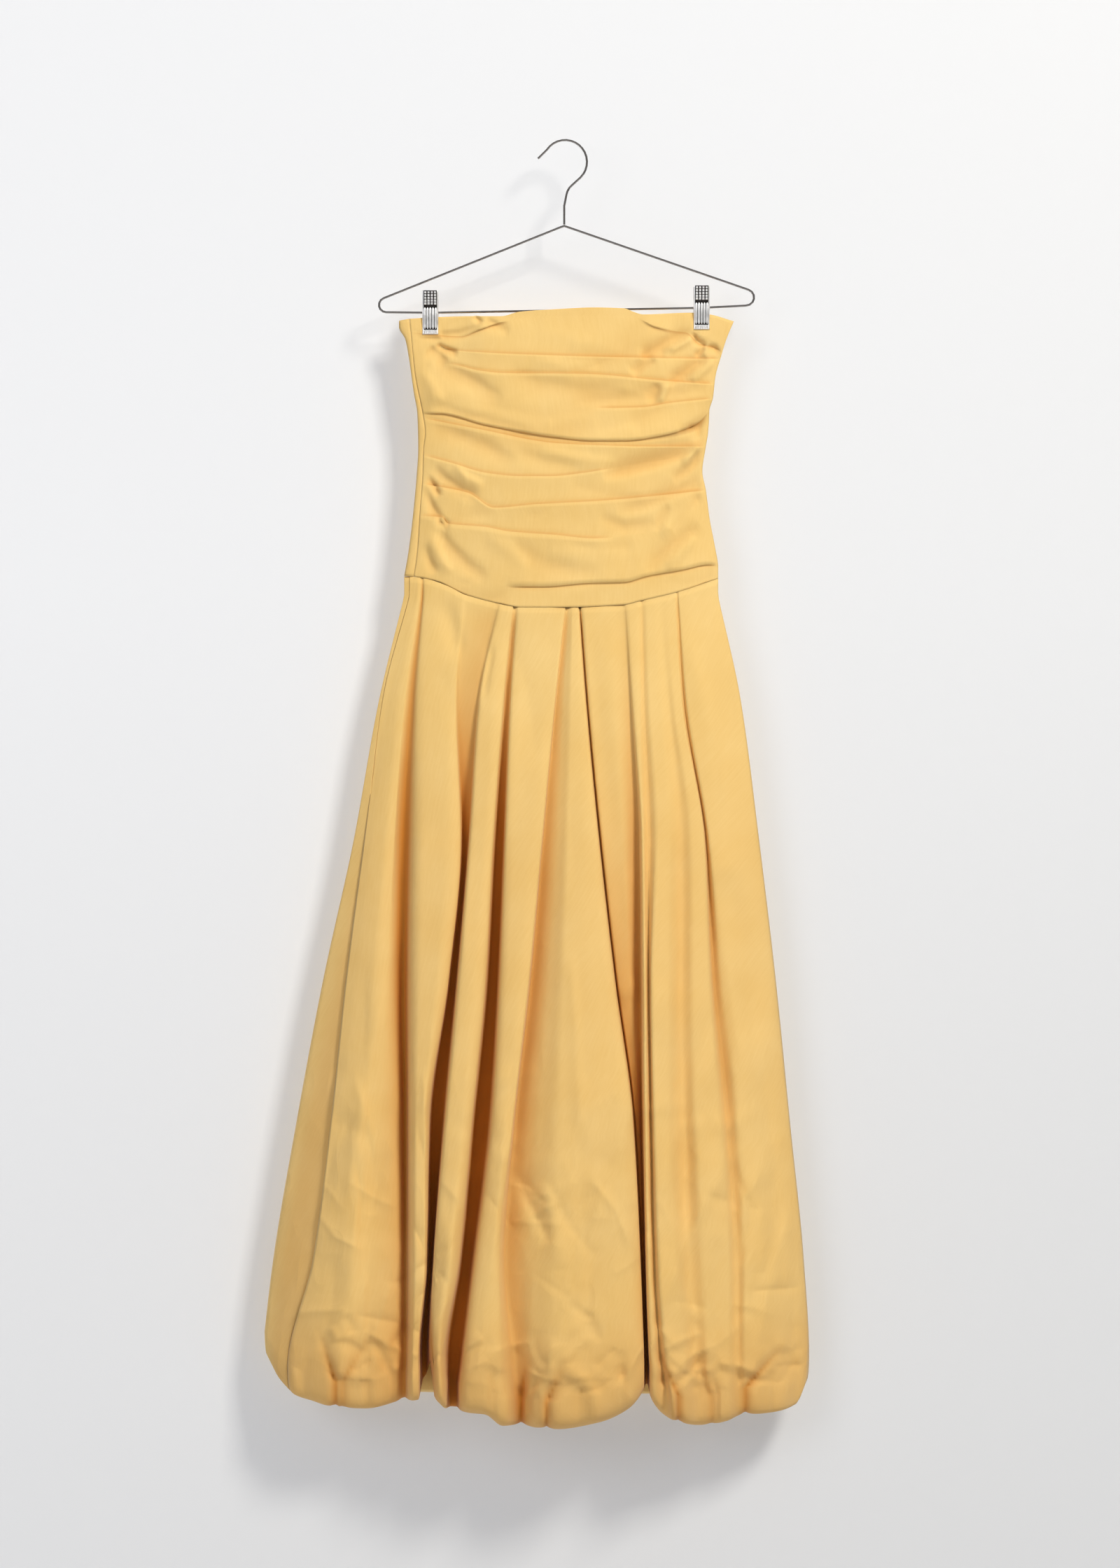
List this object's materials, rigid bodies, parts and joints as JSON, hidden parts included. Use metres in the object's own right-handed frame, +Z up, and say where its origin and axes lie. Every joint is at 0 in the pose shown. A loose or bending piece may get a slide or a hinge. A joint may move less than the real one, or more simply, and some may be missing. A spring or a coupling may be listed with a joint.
{
  "type": "strapless dress on clip hanger",
  "caption": "Strapless maxi dress with a draped bodice and a pleated bubble-hem skirt, hung by two clips from a wire hanger.",
  "frame": {"origin": "inner top of the hanger's hook, where a peg or rail carries it", "axes": "+X to the viewer's right, -Y out of the front of the dress, +Z up; the hanger lies in the plane y = 0"},
  "size_m": [0.624, 0.1439, 1.4703],
  "materials": {
    "poplin": "mustard cotton poplin, plain weave, matt with a slight sheen, fine creases",
    "lining": "beige lining cloth, matt",
    "chrome": "chromed steel wire and pressed steel clips"
  },
  "bodies": {
    "root": {"bodice_front": "poplin", "bodice_back": "poplin", "skirt_front": "poplin", "skirt_back": "poplin", "hem_lining": "lining", "hanger_hook": "chrome", "hanger_frame": "chrome", "clip_left_front": "chrome", "clip_left_back": "chrome", "clip_left_pin": "chrome", "clip_right_front": "chrome", "clip_right_back": "chrome", "clip_right_pin": "chrome"}
  },
  "joints": []
}
